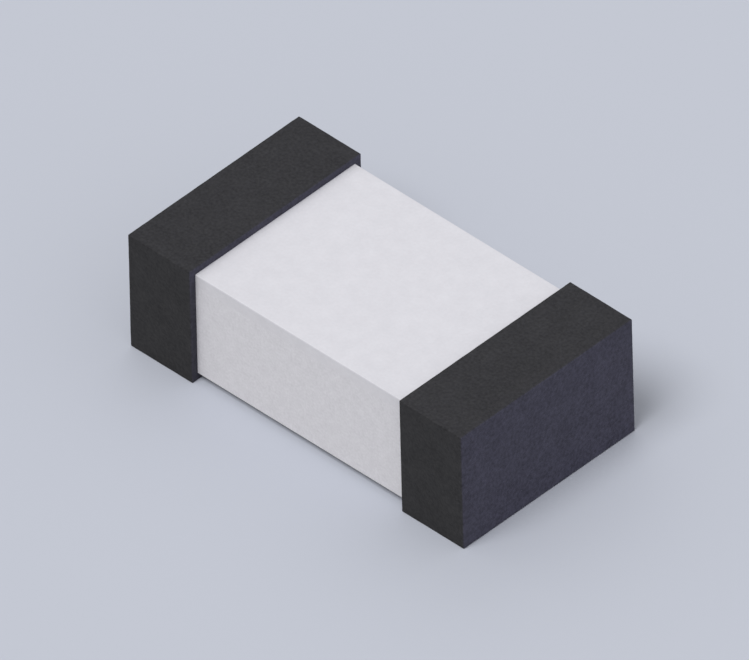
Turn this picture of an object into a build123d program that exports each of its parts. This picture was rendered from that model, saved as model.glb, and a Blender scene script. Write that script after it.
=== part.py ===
from build123d import *
import os

# A thick-film chip resistor of metric size 1608, for soldering flat to a board.
# A resistive film is printed on a ceramic block, glazed, trimmed by laser and covered
# by a pale overcoat. Each end wears a termination that wraps five faces of the body
# and stands a little proud of it: printed pads, dipped silver, nickel and tin.
#
# The origin is the middle of the chip: halfway along it, across it and up it.
# +X runs along the chip to its right-hand end, +Y across it and +Z up from the board.
# Every size is in millimetres.

# Body
chip_length = 1.60  # over both terminations
body_width = 0.80  # ceramic and overcoat, across the chip
substrate_thickness = 0.40
body_edge_radius = 0.004  # four long edges of the body

# Termination, from the ceramic outwards
band_length = 0.298  # end face to rim
electrode_thickness = 0.008  # printed pads, above and below the ceramic
silver_thickness = 0.011  # dipped silver, over the printed pads
nickel_thickness = 0.004
tin_thickness = 0.006
cap_edge_radius = 0.004  # round the end face of each layer; plating keeps edges crisp
cap_corner_radius = 0.007  # of each layer's four edges along the chip

# Printed pads
electrode_side_margin = 0.04  # bare ceramic beside each pad
top_electrode_reach = 0.09  # inwards past the rim, under the overcoat
bottom_electrode_setback = 0.04  # outwards from the rim, hidden by the silver

# Resistive film and its glaze
film_width = 0.60
film_thickness = 0.010
film_lap = 0.06  # onto each top electrode
glaze_thickness = 0.008
glaze_margin = 0.02  # past the film, all round

# Overcoat
overcoat_cover = 0.024  # above the glaze, where it rides over the electrodes
overcoat_lap = 0.04  # outwards from the rim, under the silver

# Laser trim, an L-shaped cut through glaze and film and into the ceramic
kerf_width = 0.030
kerf_groove = 0.004  # depth of the scar in the ceramic
kerf_station = 0.14  # along the chip, from its middle to the plunge cut
kerf_lead_in = 0.035  # outside the film, where the cut starts
kerf_plunge = 0.32  # across the film, from its edge
kerf_run = 0.26  # along the film, from the plunge cut

# How far each layer's outer faces stand out from the body
silver_growth = electrode_thickness + silver_thickness
nickel_growth = silver_growth + nickel_thickness
tin_growth = nickel_growth + tin_thickness

# Stations along the chip, from its middle
ceramic_end = chip_length / 2 - tin_growth
tin_rim = chip_length / 2 - band_length
nickel_rim = tin_rim + tin_thickness
silver_rim = nickel_rim + nickel_thickness
overcoat_end = tin_rim + overcoat_lap
bottom_electrode_start = tin_rim + bottom_electrode_setback
top_electrode_start = tin_rim - top_electrode_reach
film_end = top_electrode_start + film_lap
glaze_end = film_end + glaze_margin

# Heights, from the middle of the body, which is the caps' middle too
coats_thickness = electrode_thickness + film_thickness + glaze_thickness + overcoat_cover
body_thickness = substrate_thickness + coats_thickness
body_top = body_thickness / 2
ceramic_top = body_top - coats_thickness
ceramic_bottom = -body_top
electrode_top = ceramic_top + electrode_thickness

electrode_width = body_width - 2 * electrode_side_margin
glaze_width = film_width + 2 * glaze_margin


def stepped_strip(end, width, build_up):
    """A printed strip that runs over both top electrodes, as thick as build_up."""
    shoulder = top_electrode_start - build_up  # top of the slope up to the electrode
    foot = shoulder - electrode_thickness
    with BuildPart() as strip:
        with BuildSketch(Plane.XZ):
            with BuildLine():
                Polyline(
                    (0, ceramic_top),
                    (top_electrode_start, ceramic_top),
                    (top_electrode_start, electrode_top),
                    (end, electrode_top),
                    (end, electrode_top + build_up),
                    (shoulder, electrode_top + build_up),
                    (foot, ceramic_top + build_up),
                    (0, ceramic_top + build_up),
                )
                mirror(about=Plane.YZ)
            make_face()
        extrude(amount=width / 2, both=True)
    return strip.part


def wrap_block(rim, growth):
    """One layer of the right-hand termination, filled in. Its rim is left square."""
    with BuildPart() as block:
        with BuildSketch(Plane.YZ.offset(rim)):
            RectangleRounded(
                body_width + 2 * growth,
                body_thickness + 2 * growth,
                radius=cap_corner_radius,
            )
        extrude(amount=ceramic_end + growth - rim)
        end_face = block.faces().sort_by(Axis.X)[-1]
        fillet(end_face.edges(), radius=cap_edge_radius)
    return block.part


def write(piece, name):
    """Labels a finished piece and writes it under its own name."""
    piece.label = name
    export_step(piece, f"parts/{name}.step")


# The laser's path, from the bottom of its scar to above the glaze: a plunge across
# the film from its near edge, then a run along it
kerf_start = -film_width / 2 - kerf_lead_in
kerf_turn = -film_width / 2 + kerf_plunge
with BuildPart() as laser_path:
    with BuildSketch(Plane.XY.offset(ceramic_top - kerf_groove)):
        with Locations((kerf_station, (kerf_start + kerf_turn) / 2)):
            SlotCenterToCenter(kerf_turn - kerf_start, kerf_width, rotation=90)
        with Locations((kerf_station - kerf_run / 2, kerf_turn)):
            SlotCenterToCenter(kerf_run, kerf_width)
    extrude(amount=kerf_groove + coats_thickness - overcoat_cover)

# Ceramic block, scarred by the laser
with BuildPart() as ceramic_substrate:
    with BuildSketch(Plane.XY.offset(ceramic_bottom)):
        Rectangle(2 * ceramic_end, body_width)
    extrude(amount=substrate_thickness)
    lower_edges = ceramic_substrate.edges().filter_by(Axis.X).group_by(Axis.Z)[0]
    fillet(lower_edges, radius=body_edge_radius)
    add(laser_path.part, mode=Mode.SUBTRACT)

# Printed electrodes at the right-hand end, above and below the ceramic
with BuildPart() as top_electrode:
    with BuildSketch(Plane.XY.offset(ceramic_top)):
        with Locations(((top_electrode_start + ceramic_end) / 2, 0)):
            Rectangle(ceramic_end - top_electrode_start, electrode_width)
    extrude(amount=electrode_thickness)

with BuildPart() as bottom_electrode:
    with BuildSketch(Plane.XY.offset(ceramic_bottom)):
        with Locations(((bottom_electrode_start + ceramic_end) / 2, 0)):
            Rectangle(ceramic_end - bottom_electrode_start, electrode_width)
    extrude(amount=-electrode_thickness)

# The right-hand top electrode's opposite number, which the film also laps
with BuildPart() as top_electrode_left:
    mirror(top_electrode.part, about=Plane.YZ)

# Resistive film, cut by the laser
untrimmed_film = stepped_strip(film_end, film_width, film_thickness)
with BuildPart() as resistor_film:
    add(untrimmed_film)
    add(laser_path.part, mode=Mode.SUBTRACT)

# Glaze over the film and down its sides, cut with it
with BuildPart() as glass_glaze:
    add(stepped_strip(glaze_end, glaze_width, film_thickness + glaze_thickness))
    add(untrimmed_film, mode=Mode.SUBTRACT)
    add(laser_path.part, mode=Mode.SUBTRACT)

# Overcoat, flush with the ceramic's sides, which also fills the laser's cut
with BuildPart() as overcoat:
    with BuildSketch(Plane.XY.offset(ceramic_top)):
        Rectangle(2 * overcoat_end, body_width)
    extrude(amount=body_top - ceramic_top)
    upper_edges = overcoat.edges().filter_by(Axis.X).group_by(Axis.Z)[-1]
    fillet(upper_edges, radius=body_edge_radius)
    add(laser_path.part)
    add(top_electrode.part, mode=Mode.SUBTRACT)
    add(top_electrode_left.part, mode=Mode.SUBTRACT)
    add(resistor_film.part, mode=Mode.SUBTRACT)
    add(glass_glaze.part, mode=Mode.SUBTRACT)

# Termination layers at the right-hand end. Each is its outer block less all inside it.
inside = [
    ceramic_substrate.part,
    top_electrode.part,
    bottom_electrode.part,
    resistor_film.part,
    glass_glaze.part,
    overcoat.part,
]

with BuildPart() as silver_dip:
    add(wrap_block(silver_rim, silver_growth))
    add(inside, mode=Mode.SUBTRACT)
inside.append(silver_dip.part)

with BuildPart() as nickel_barrier:
    add(wrap_block(nickel_rim, nickel_growth))
    add(inside, mode=Mode.SUBTRACT)
inside.append(nickel_barrier.part)

with BuildPart() as tin_coat:
    add(wrap_block(tin_rim, tin_growth))
    add(inside, mode=Mode.SUBTRACT)

os.makedirs("parts", exist_ok=True)
write(ceramic_substrate.part, "ceramic_substrate")
write(resistor_film.part, "resistor_film")
write(glass_glaze.part, "glass_glaze")
write(overcoat.part, "overcoat")

# Both ends have the same pieces, mirrored about the chip's middle
for right_piece, name in (
    (top_electrode.part, "top_electrode"),
    (bottom_electrode.part, "bottom_electrode"),
    (silver_dip.part, "silver_dip"),
    (nickel_barrier.part, "nickel_barrier"),
    (tin_coat.part, "tin_coat"),
):
    with BuildPart() as left_piece:
        mirror(right_piece, about=Plane.YZ)
    write(right_piece, f"{name}_right")
    write(left_piece.part, f"{name}_left")
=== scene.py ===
from math import cos, isclose, pi, radians, sin

import bpy
from mathutils import Matrix, Vector


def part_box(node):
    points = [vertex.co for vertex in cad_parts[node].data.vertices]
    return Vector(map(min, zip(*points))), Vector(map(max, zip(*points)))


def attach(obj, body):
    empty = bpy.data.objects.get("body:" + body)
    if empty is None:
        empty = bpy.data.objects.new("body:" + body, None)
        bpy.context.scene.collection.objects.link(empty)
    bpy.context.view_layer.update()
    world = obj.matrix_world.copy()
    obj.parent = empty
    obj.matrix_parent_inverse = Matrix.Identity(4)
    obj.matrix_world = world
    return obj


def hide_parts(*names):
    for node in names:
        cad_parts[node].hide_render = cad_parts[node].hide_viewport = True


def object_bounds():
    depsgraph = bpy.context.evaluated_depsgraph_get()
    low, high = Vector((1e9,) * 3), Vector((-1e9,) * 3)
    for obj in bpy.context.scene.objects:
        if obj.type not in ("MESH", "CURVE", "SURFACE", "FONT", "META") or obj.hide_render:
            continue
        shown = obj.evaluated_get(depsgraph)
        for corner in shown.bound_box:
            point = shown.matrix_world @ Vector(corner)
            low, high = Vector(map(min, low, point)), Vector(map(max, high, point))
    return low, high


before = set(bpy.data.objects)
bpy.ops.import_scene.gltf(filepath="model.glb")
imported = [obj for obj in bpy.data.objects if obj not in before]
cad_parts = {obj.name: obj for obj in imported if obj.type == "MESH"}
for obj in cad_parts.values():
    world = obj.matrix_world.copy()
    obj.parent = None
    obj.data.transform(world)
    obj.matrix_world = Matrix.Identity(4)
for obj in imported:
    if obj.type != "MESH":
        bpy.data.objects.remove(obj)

# A thick-film chip resistor of metric size 1608: a white ceramic block under a pale coat,
# between two caps of dark matt tin. The frame is in metres and the chip is 1.6 mm long,
# so what follows is written in millimetres and micrometres.
mm = 0.001
micron = 0.000001
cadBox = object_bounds()
print("frame loaded:", len(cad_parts), "solids")


# Finishes. Sizes and heights in them are micrometres.

def noise(tree, size, stretch=(1, 1, 1)):
    # grains about this far apart, drawn out along each axis by its stretch
    where = tree.nodes.new("ShaderNodeTexCoord")
    fitted = tree.nodes.new("ShaderNodeMapping")
    fitted.inputs["Scale"].default_value = [1 / (size * micron * factor) for factor in stretch]
    grain = tree.nodes.new("ShaderNodeTexNoise")
    grain.inputs["Scale"].default_value = 1
    grain.inputs["Detail"].default_value = 3  # octaves
    tree.links.new(where.outputs["Object"], fitted.inputs["Vector"])
    tree.links.new(fitted.outputs["Vector"], grain.inputs["Vector"])
    return grain.outputs["Fac"]


def weave(tree, pitch):
    # the dimples that a printing screen's mesh leaves in a thick paste
    where = tree.nodes.new("ShaderNodeTexCoord")
    wireSpacing = pi / 10  # of the wave node's bands, at a scale of 1
    dimples = tree.nodes.new("ShaderNodeMath")
    dimples.operation = "MULTIPLY"
    for direction, factor in zip(("X", "Y"), dimples.inputs):
        wires = tree.nodes.new("ShaderNodeTexWave")
        wires.bands_direction = direction
        wires.inputs["Scale"].default_value = wireSpacing / (pitch * micron)
        wires.inputs["Distortion"].default_value = 0.6  # no wire runs quite straight
        tree.links.new(where.outputs["Object"], wires.inputs["Vector"])
        tree.links.new(wires.outputs["Fac"], factor)
    return dimples.outputs[0]


def ranged(tree, source, low, high):
    # stretches the middle of a noise, where nearly all of it lies, from low to high
    noiseLow, noiseHigh = 0.3, 0.7
    span = tree.nodes.new("ShaderNodeMapRange")
    span.inputs["From Min"].default_value = noiseLow
    span.inputs["From Max"].default_value = noiseHigh
    span.inputs["To Min"].default_value = low
    span.inputs["To Max"].default_value = high
    tree.links.new(source, span.inputs["Value"])
    return span.outputs["Result"]


def tinted(tree, source, darker, lighter):
    mix = tree.nodes.new("ShaderNodeMix")
    mix.data_type = "RGBA"
    mix.inputs["A"].default_value = (*darker, 1)
    mix.inputs["B"].default_value = (*lighter, 1)
    tree.links.new(source, mix.inputs["Factor"])
    return mix.outputs["Result"]


def blended(tree, first, second, share):
    mix = tree.nodes.new("ShaderNodeMix")
    mix.inputs["Factor"].default_value = share  # of the second
    tree.links.new(first, mix.inputs["A"])
    tree.links.new(second, mix.inputs["B"])
    return mix.outputs["Result"]


def raised(tree, source, height):
    # lays a relief of this height over those that the surface has
    shader = tree.nodes["Principled BSDF"]
    bump = tree.nodes.new("ShaderNodeBump")
    bump.inputs["Strength"].default_value = 1
    bump.inputs["Distance"].default_value = height * micron
    tree.links.new(source, bump.inputs["Height"])
    for link in shader.inputs["Normal"].links:
        tree.links.new(link.from_socket, bump.inputs["Normal"])
    tree.links.new(bump.outputs["Normal"], shader.inputs["Normal"])


def mixFinish(name, recipe):
    # a surface with fine grain over a slow swell, both seen in its colour and its relief
    finish = bpy.data.materials.new(name)
    finish.use_nodes = True
    tree = finish.node_tree
    shader = tree.nodes["Principled BSDF"]
    for socket, value in recipe["sockets"].items():
        shader.inputs[socket].default_value = value
    grain = noise(tree, recipe["grainSize"])
    swell = noise(tree, recipe["swellSize"])
    mottle = ranged(tree, blended(tree, grain, swell, recipe["swellShare"]), 0, 1)
    colour = tinted(tree, mottle, recipe["darker"], recipe["lighter"])
    tree.links.new(colour, shader.inputs["Base Color"])
    tree.links.new(ranged(tree, grain, *recipe["roughness"]), shader.inputs["Roughness"])
    raised(tree, swell, recipe["swellHeight"])
    raised(tree, grain, recipe["grainHeight"])
    return finish


mattTin = {
    "darker": (0.026, 0.0254, 0.026),  # the mottle runs from this colour
    "lighter": (0.050, 0.0492, 0.050),  # to this one
    "roughness": (0.4, 0.65),  # in the grain's hollows, and on its tops
    "grainSize": 12,
    "grainHeight": 1,
    "swellSize": 70,
    "swellHeight": 1.5,
    "swellShare": 0.25,  # of the mottle; the grain makes the rest
    "sockets": {"Metallic": 0.2, "Specular IOR Level": 0.05},  # the same all over
}

paleCoat = {
    "darker": (0.672, 0.665, 0.709),
    "lighter": (0.734, 0.727, 0.773),
    "roughness": (0.3, 0.44),
    "grainSize": 12,
    "grainHeight": 0.2,
    "swellSize": 60,
    "swellHeight": 0.5,
    "swellShare": 0.5,
    "sockets": {},
}

alumina = {
    "darker": (0.655, 0.648, 0.690),
    "lighter": (0.773, 0.766, 0.813),
    "roughness": (0.6, 0.8),
    "grainSize": 10,
    "grainHeight": 0.8,
    "swellSize": 40,
    "swellHeight": 0.5,
    "swellShare": 0.4,
    "hackleSize": 14,
    "hackleStretch": (1, 1, 8),  # up the side, the way the block was snapped
    "hackleHeight": 0.5,
    "sockets": {},
}

resistiveFilm = {
    "darker": (0.018, 0.018, 0.020),
    "lighter": (0.046, 0.045, 0.047),
    "roughness": (0.5, 0.75),
    "grainSize": 5,
    "grainHeight": 0.4,
    "swellSize": 50,
    "swellHeight": 0.8,
    "swellShare": 0.2,
    "sockets": {},
}

greenGlaze = {
    "darker": (0.13, 0.17, 0.10),
    "lighter": (0.19, 0.23, 0.14),
    "roughness": (0.12, 0.22),
    "grainSize": 12,
    "grainHeight": 0.1,
    "swellSize": 70,
    "swellHeight": 0.6,
    "swellShare": 0.7,
    "sockets": {"Transmission Weight": 0.25},
}

printedSilver = {
    "darker": (0.56, 0.54, 0.50),
    "lighter": (0.68, 0.66, 0.62),
    "roughness": (0.38, 0.55),
    "grainSize": 4,
    "grainHeight": 0.3,
    "swellSize": 50,
    "swellHeight": 0.5,
    "swellShare": 0.3,
    "meshPitch": 60,
    "meshHeight": 0.8,
    "sockets": {"Metallic": 0.9},
}

dippedSilver = {
    "darker": (0.49, 0.48, 0.46),
    "lighter": (0.61, 0.60, 0.58),
    "roughness": (0.42, 0.6),
    "grainSize": 5,
    "grainHeight": 0.4,
    "swellSize": 80,
    "swellHeight": 1.5,
    "swellShare": 0.4,
    "sockets": {"Metallic": 0.9},
}

nickelPlate = {
    "darker": (0.32, 0.30, 0.26),
    "lighter": (0.40, 0.38, 0.34),
    "roughness": (0.28, 0.42),
    "grainSize": 3,
    "grainHeight": 0.2,
    "swellSize": 60,
    "swellHeight": 0.8,
    "swellShare": 0.3,
    "sockets": {"Metallic": 1},
}


def sinterAlumina():
    finish = mixFinish("alumina", alumina)
    hackle = noise(finish.node_tree, alumina["hackleSize"], alumina["hackleStretch"])
    raised(finish.node_tree, hackle, alumina["hackleHeight"])
    return finish


def printSilver():
    finish = mixFinish("printedSilver", printedSilver)
    dimples = weave(finish.node_tree, printedSilver["meshPitch"])
    raised(finish.node_tree, dimples, printedSilver["meshHeight"])
    return finish


def dress(finish, *nodes):
    for node in nodes:
        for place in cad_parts[node].material_slots:
            place.material = finish


dress(sinterAlumina(), "ceramic_substrate")
dress(mixFinish("paleCoat", paleCoat), "overcoat")
dress(mixFinish("resistiveFilm", resistiveFilm), "resistor_film")
dress(mixFinish("greenGlaze", greenGlaze), "glass_glaze")
pads = [pad + side for pad in ("top_electrode", "bottom_electrode") for side in ("_left", "_right")]
dress(printSilver(), *pads)
dress(mixFinish("dippedSilver", dippedSilver), "silver_dip_left", "silver_dip_right")
dress(mixFinish("nickelPlate", nickelPlate), "nickel_barrier_left", "nickel_barrier_right")
print("finishes made")


# Modelling, at a thousand times the size, so that a unit is a millimetre

def drawn(node):
    # a node's lowest and highest corners
    low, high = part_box(node)
    return low / mm, high / mm


def newBlock(name, low, high):
    bpy.ops.object.select_all(action="DESELECT")
    bpy.ops.mesh.primitive_cube_add(size=1, location=(low + high) / 2)
    block = bpy.context.object
    block.name = name
    block.scale = high - low
    bpy.ops.object.transform_apply(location=True, rotation=True, scale=True)
    return block


def pick(block, kind, wanted):
    # selects the faces or edges that pass a test, and leaves the block open for editing
    bpy.ops.object.mode_set(mode="EDIT")
    bpy.ops.mesh.select_mode(type=kind)
    bpy.ops.mesh.select_all(action="DESELECT")
    bpy.ops.object.mode_set(mode="OBJECT")
    items = block.data.polygons if kind == "FACE" else block.data.edges
    for item in items:
        item.select = wanted(item)
    bpy.ops.object.mode_set(mode="EDIT")


def ruleGrid(axis, ends, pitch):
    # cuts the block that is open for editing across an axis, evenly between each two ends
    normal = [0, 0, 0]
    normal[axis] = 1
    stations = set(ends[1:-1])
    for start, stop in zip(ends, ends[1:]):
        steps = max(1, round((stop - start) / pitch))
        stations.update(start + (stop - start) * step / steps for step in range(1, steps))
    for station in sorted(stations):
        place = [0, 0, 0]
        place[axis] = station
        bpy.ops.mesh.select_all(action="SELECT")
        bpy.ops.mesh.bisect(plane_co=place, plane_no=normal)


def roundEdges(radius, steps):
    bpy.ops.mesh.bevel(offset=radius, segments=steps, affect="EDGES")
    # closed and opened again, a block is worked on in the same order each run
    bpy.ops.object.mode_set(mode="OBJECT")
    bpy.ops.object.mode_set(mode="EDIT")


def ringFaces():
    # new walls round the selected faces, of no length until those are moved or resized;
    # extrude would do the same, but lists its walls in another order each run
    bpy.ops.mesh.inset(thickness=0, depth=0)


def dent(block, size, depth):
    # a slow random swell, inwards only, so that the block keeps within its size
    bpy.ops.object.mode_set(mode="OBJECT")
    clouds = bpy.data.textures.new("swell", "CLOUDS")
    clouds.noise_scale = size
    clouds.noise_depth = 2  # octaves
    swell = block.modifiers.new("swell", "DISPLACE")
    swell.texture = clouds
    swell.texture_coords = "LOCAL"
    swell.mid_level = 1  # the clouds' brightest, which stays where it is
    swell.strength = depth
    bpy.ops.object.modifier_apply(modifier=swell.name)


def shrinkToSize(piece, angle):
    bpy.ops.object.mode_set(mode="OBJECT")
    piece.scale = (mm, mm, mm)
    bpy.ops.object.transform_apply(location=True, rotation=True, scale=True)
    bpy.ops.object.shade_smooth_by_angle(angle=radians(angle))


# Tin coats: five-sided caps, with a pocket that the body and the nickel fill

tinCoat = {
    "gridPitch": 0.011,  # mm
    "edgeRadius": 0.005,
    "rimRadius": 0.0025,
    "edgeSteps": 3,
    "swellSize": 0.05,
    "swellDepth": 0.0012,
    "sharpAngle": 60,  # degrees
    "smoothAngle": 40,
}


def growTinCoat(side, finish):
    node = "tin_coat_" + side
    low, high = drawn(node)
    bodyLow, bodyHigh = drawn("ceramic_substrate")
    bodyHigh.z = drawn("overcoat")[1].z
    nickelLow, nickelHigh = drawn("nickel_barrier_" + side)
    outward = 1 if side == "right" else -1
    rim = low.x if side == "right" else high.x
    nickelRim = nickelLow.x if side == "right" else nickelHigh.x
    coat = newBlock("tinCoat" + side.capitalize(), low, high)

    bpy.ops.object.mode_set(mode="EDIT")
    ruleGrid(0, [low.x, high.x], tinCoat["gridPitch"])
    ruleGrid(1, [low.y, bodyLow.y, bodyHigh.y, high.y], tinCoat["gridPitch"])
    ruleGrid(2, [low.z, bodyLow.z, bodyHigh.z, high.z], tinCoat["gridPitch"])

    def isCorner(edge):
        # on two of the block's outer planes, neither of them the rim's
        closeEnough = 0.00001
        ends = [coat.data.vertices[end].co for end in edge.vertices]
        touched = []
        for axis in range(3):
            for plane in (low[axis], high[axis]):
                if all(isclose(end[axis], plane, abs_tol=closeEnough) for end in ends):
                    touched.append((axis, plane))
        return len(touched) == 2 and (0, rim) not in touched

    pick(coat, "EDGE", isCorner)
    roundEdges(tinCoat["edgeRadius"], tinCoat["edgeSteps"])
    bpy.ops.mesh.select_all(action="DESELECT")
    bpy.ops.mesh.edges_select_sharp(sharpness=radians(tinCoat["sharpAngle"]))
    roundEdges(tinCoat["rimRadius"], tinCoat["edgeSteps"])
    dent(coat, tinCoat["swellSize"], tinCoat["swellDepth"])

    def isMouth(face):
        # on the rim's side of the block, which the swell has dented, within the body's outline
        sunk = abs(face.center.x - rim)
        within = bodyLow.y < face.center.y < bodyHigh.y and bodyLow.z < face.center.z < bodyHigh.z
        return within and sunk < 2 * tinCoat["swellDepth"]  # the swell goes half as deep

    # the mouth is pushed in past the lip, widened to the nickel's outside and pushed on
    pick(coat, "FACE", isMouth)
    ringFaces()
    bpy.ops.transform.translate(value=(nickelRim - rim, 0, 0))
    ringFaces()
    widen = (nickelHigh.y - nickelLow.y) / (bodyHigh.y - bodyLow.y)
    heighten = (nickelHigh.z - nickelLow.z) / (bodyHigh.z - bodyLow.z)
    bpy.ops.transform.resize(value=(1, widen, heighten), center_override=(nickelRim, 0, 0))
    ringFaces()
    bpy.ops.transform.translate(value=(outward * (nickelHigh.x - nickelLow.x), 0, 0))
    shrinkToSize(coat, tinCoat["smoothAngle"])

    coat.data.materials.append(finish)
    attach(coat, "root")
    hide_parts(node)
    print(coat.name, "made:", len(coat.data.polygons), "faces")
    return coat


tinFinish = mixFinish("mattTin", mattTin)
tinCoats = [growTinCoat(side, tinFinish) for side in ("left", "right")]

# Floor, light and camera. Light is given as what a white card facing it gives back.

# The photo is a parallel view, and its numbers here were fitted to its edges
photo = {
    "width": 749,  # pixels
    "height": 660,
    "pixelsPerMm": 289.04,
    "chipMiddle": (381.42, 332.49),  # pixels right and down
    "azimuth": 44.75,  # degrees
    "elevation": 40.7,
    "roll": -1.44,
    "backdrop": (196, 200, 211),
}

studio = {
    "sky": (0.526, 0.526, 0.526),
    "keyLight": (0.50, 0.50, 0.50),  # high, over the near side
    "keyFrom": (0, -0.46, 0.888),
    "keySpread": 30,  # degrees
    "fillLight": (0.61, 0.61, 1.14),  # cool and low, past the right-hand end
    "fillFrom": (0.99, -0.01, 0.12),
    "fillSpread": 15,
    "gleamLight": (0.05, 0.05, 0.05),  # behind, where the upper faces mirror it
    "gleamFrom": (-0.533, 0.539, 0.652),
    "gleamSpread": 40,
    "floorSize": 80,  # mm
    "floorBounce": (0.58, 0.58, 0.58),
    "floorRoughness": 0.9,
    "cameraDistance": 10,  # mm
    "clipNear": 0.1,
    "clipFar": 100,
}


def fromScreen(colour):
    # a colour as a screen shows it, 0 to 255, in the linear light that shaders use
    linear = []
    for channel in colour:
        level = channel / 255
        linear.append(level / 12.92 if level <= 0.04045 else ((level + 0.055) / 1.055) ** 2.4)
    return tuple(linear)


def seenStraight(tree):
    # 1 for what the camera sees, straight or by way of a mirror or glass, and otherwise 0
    ray = tree.nodes.new("ShaderNodeLightPath")
    seen = ray.outputs["Is Camera Ray"]
    for kind in ("Is Glossy Ray", "Is Transmission Ray"):
        either = tree.nodes.new("ShaderNodeMath")
        either.operation = "MAXIMUM"
        tree.links.new(seen, either.inputs[0])
        tree.links.new(ray.outputs[kind], either.inputs[1])
        seen = either.outputs[0]
    return seen


def layFloor():
    bpy.ops.object.select_all(action="DESELECT")
    bpy.ops.mesh.primitive_plane_add(size=studio["floorSize"] * mm, location=(0, 0, cadBox[0].z))
    floor = bpy.context.object
    floor.name = "floor"
    bpy.ops.object.transform_apply(location=True, rotation=True, scale=True)
    card = bpy.data.materials.new("paleFloor")
    card.use_nodes = True
    tree = card.node_tree
    shader = tree.nodes["Principled BSDF"]
    colour = tinted(tree, seenStraight(tree), studio["floorBounce"], fromScreen(photo["backdrop"]))
    tree.links.new(colour, shader.inputs["Base Color"])
    shader.inputs["Roughness"].default_value = studio["floorRoughness"]
    shader.inputs["Specular IOR Level"].default_value = 0
    floor.data.materials.append(card)


def lightSky():
    world = bpy.data.worlds.new("studio")
    bpy.context.scene.world = world
    world.use_nodes = True
    tree = world.node_tree
    colour = tinted(tree, seenStraight(tree), studio["sky"], fromScreen(photo["backdrop"]))
    tree.links.new(colour, tree.nodes["Background"].inputs["Color"])


def hangLamp(name, onlyOn=None):
    bpy.ops.object.light_add(type="SUN")
    lamp = bpy.context.object
    lamp.name = name
    lamp.rotation_euler = Vector(studio[name + "From"]).to_track_quat("Z", "Y").to_euler()
    lamp.data.color = studio[name + "Light"]
    lamp.data.energy = pi  # at which a card that faces the lamp gives back the lamp's colour
    lamp.data.angle = radians(studio[name + "Spread"])
    if onlyOn:
        lit = bpy.data.collections.new(name + "Lit")
        for piece in onlyOn:
            lit.objects.link(piece)
        lamp.light_linking.receiver_collection = lit


def placeCamera():
    bpy.ops.object.camera_add()
    camera = bpy.context.object
    bpy.context.scene.camera = camera
    camera.data.type = "ORTHO"
    camera.data.ortho_scale = photo["width"] / photo["pixelsPerMm"] * mm
    camera.data.clip_start = studio["clipNear"] * mm
    camera.data.clip_end = studio["clipFar"] * mm
    turn, tilt = radians(photo["azimuth"]), radians(photo["elevation"])
    towardsCamera = Vector((sin(turn) * cos(tilt), -cos(turn) * cos(tilt), sin(tilt)))
    level = towardsCamera.to_track_quat("Z", "Y").to_matrix()
    rolled = level @ Matrix.Rotation(radians(photo["roll"]), 3, "Z")
    offRight = (photo["width"] / 2 - photo["chipMiddle"][0]) / photo["pixelsPerMm"] * mm
    offUp = (photo["chipMiddle"][1] - photo["height"] / 2) / photo["pixelsPerMm"] * mm
    camera.rotation_euler = rolled.to_euler()
    camera.location = rolled @ Vector((offRight, offUp, studio["cameraDistance"] * mm))


layFloor()
lightSky()
hangLamp("key")
hangLamp("fill", onlyOn=tinCoats)
hangLamp("gleam")
placeCamera()
bpy.context.scene.view_settings.view_transform = "Standard"
print("studio ready")
